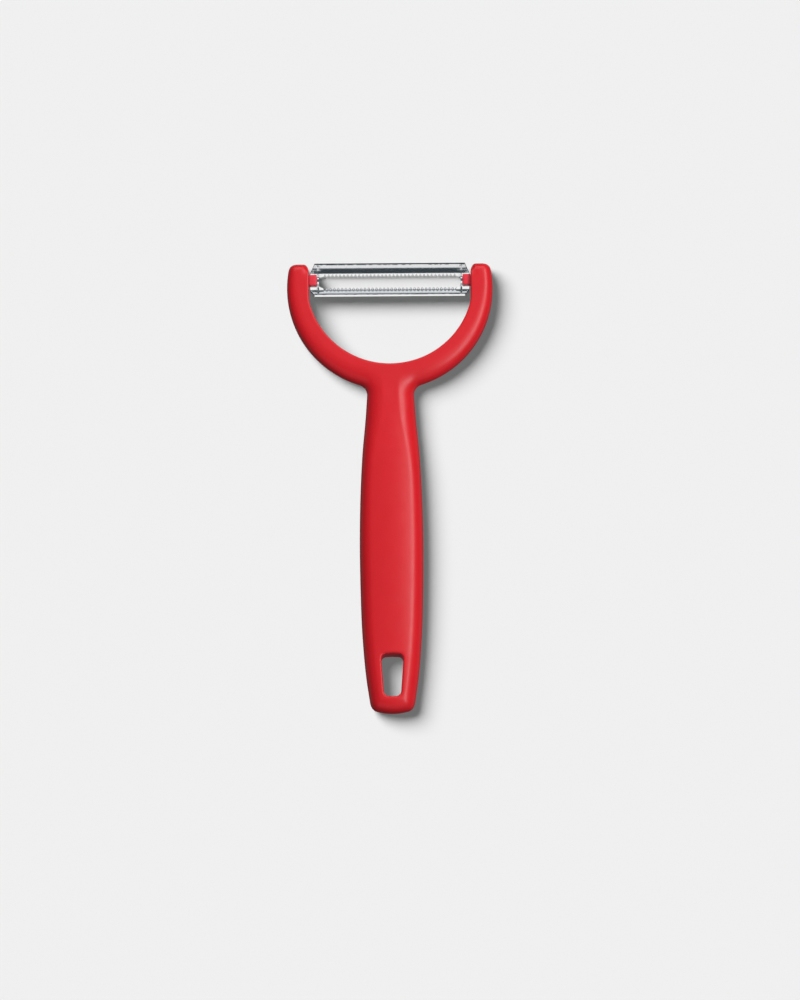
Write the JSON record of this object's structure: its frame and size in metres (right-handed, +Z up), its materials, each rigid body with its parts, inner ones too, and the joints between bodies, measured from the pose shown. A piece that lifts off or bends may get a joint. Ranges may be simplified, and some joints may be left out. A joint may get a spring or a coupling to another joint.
{
  "type": "vegetable peeler",
  "caption": "Y-shaped vegetable peeler: a one-piece plastic handle with a fork and a hanging slot, and a swivelling steel blade with a toothed slot.",
  "frame": {"origin": "bottom centre of the peeler's bounding box as it lies on its back", "axes": "+Z up from the table, +Y along the handle towards the blade, +X across the fork"},
  "size_m": [0.07, 0.1552, 0.0096],
  "materials": {
    "handle_plastic": "satin moulded red",
    "stud_plastic": "satin moulded red, brighter",
    "blade_steel": "fine brushed stainless steel"
  },
  "bodies": {
    "handle": {"handle": "handle_plastic", "left_pivot_stud": "stud_plastic", "right_pivot_stud": "stud_plastic"},
    "blade": {"blade": "blade_steel"}
  },
  "joints": [
    {"name": "blade_swivel", "type": "hinge", "parent": "handle", "child": "blade", "pos_m": [0, 0.07178, 0.0041], "axis": [1, 0, 0], "range_deg": [-22, 22]}
  ]
}
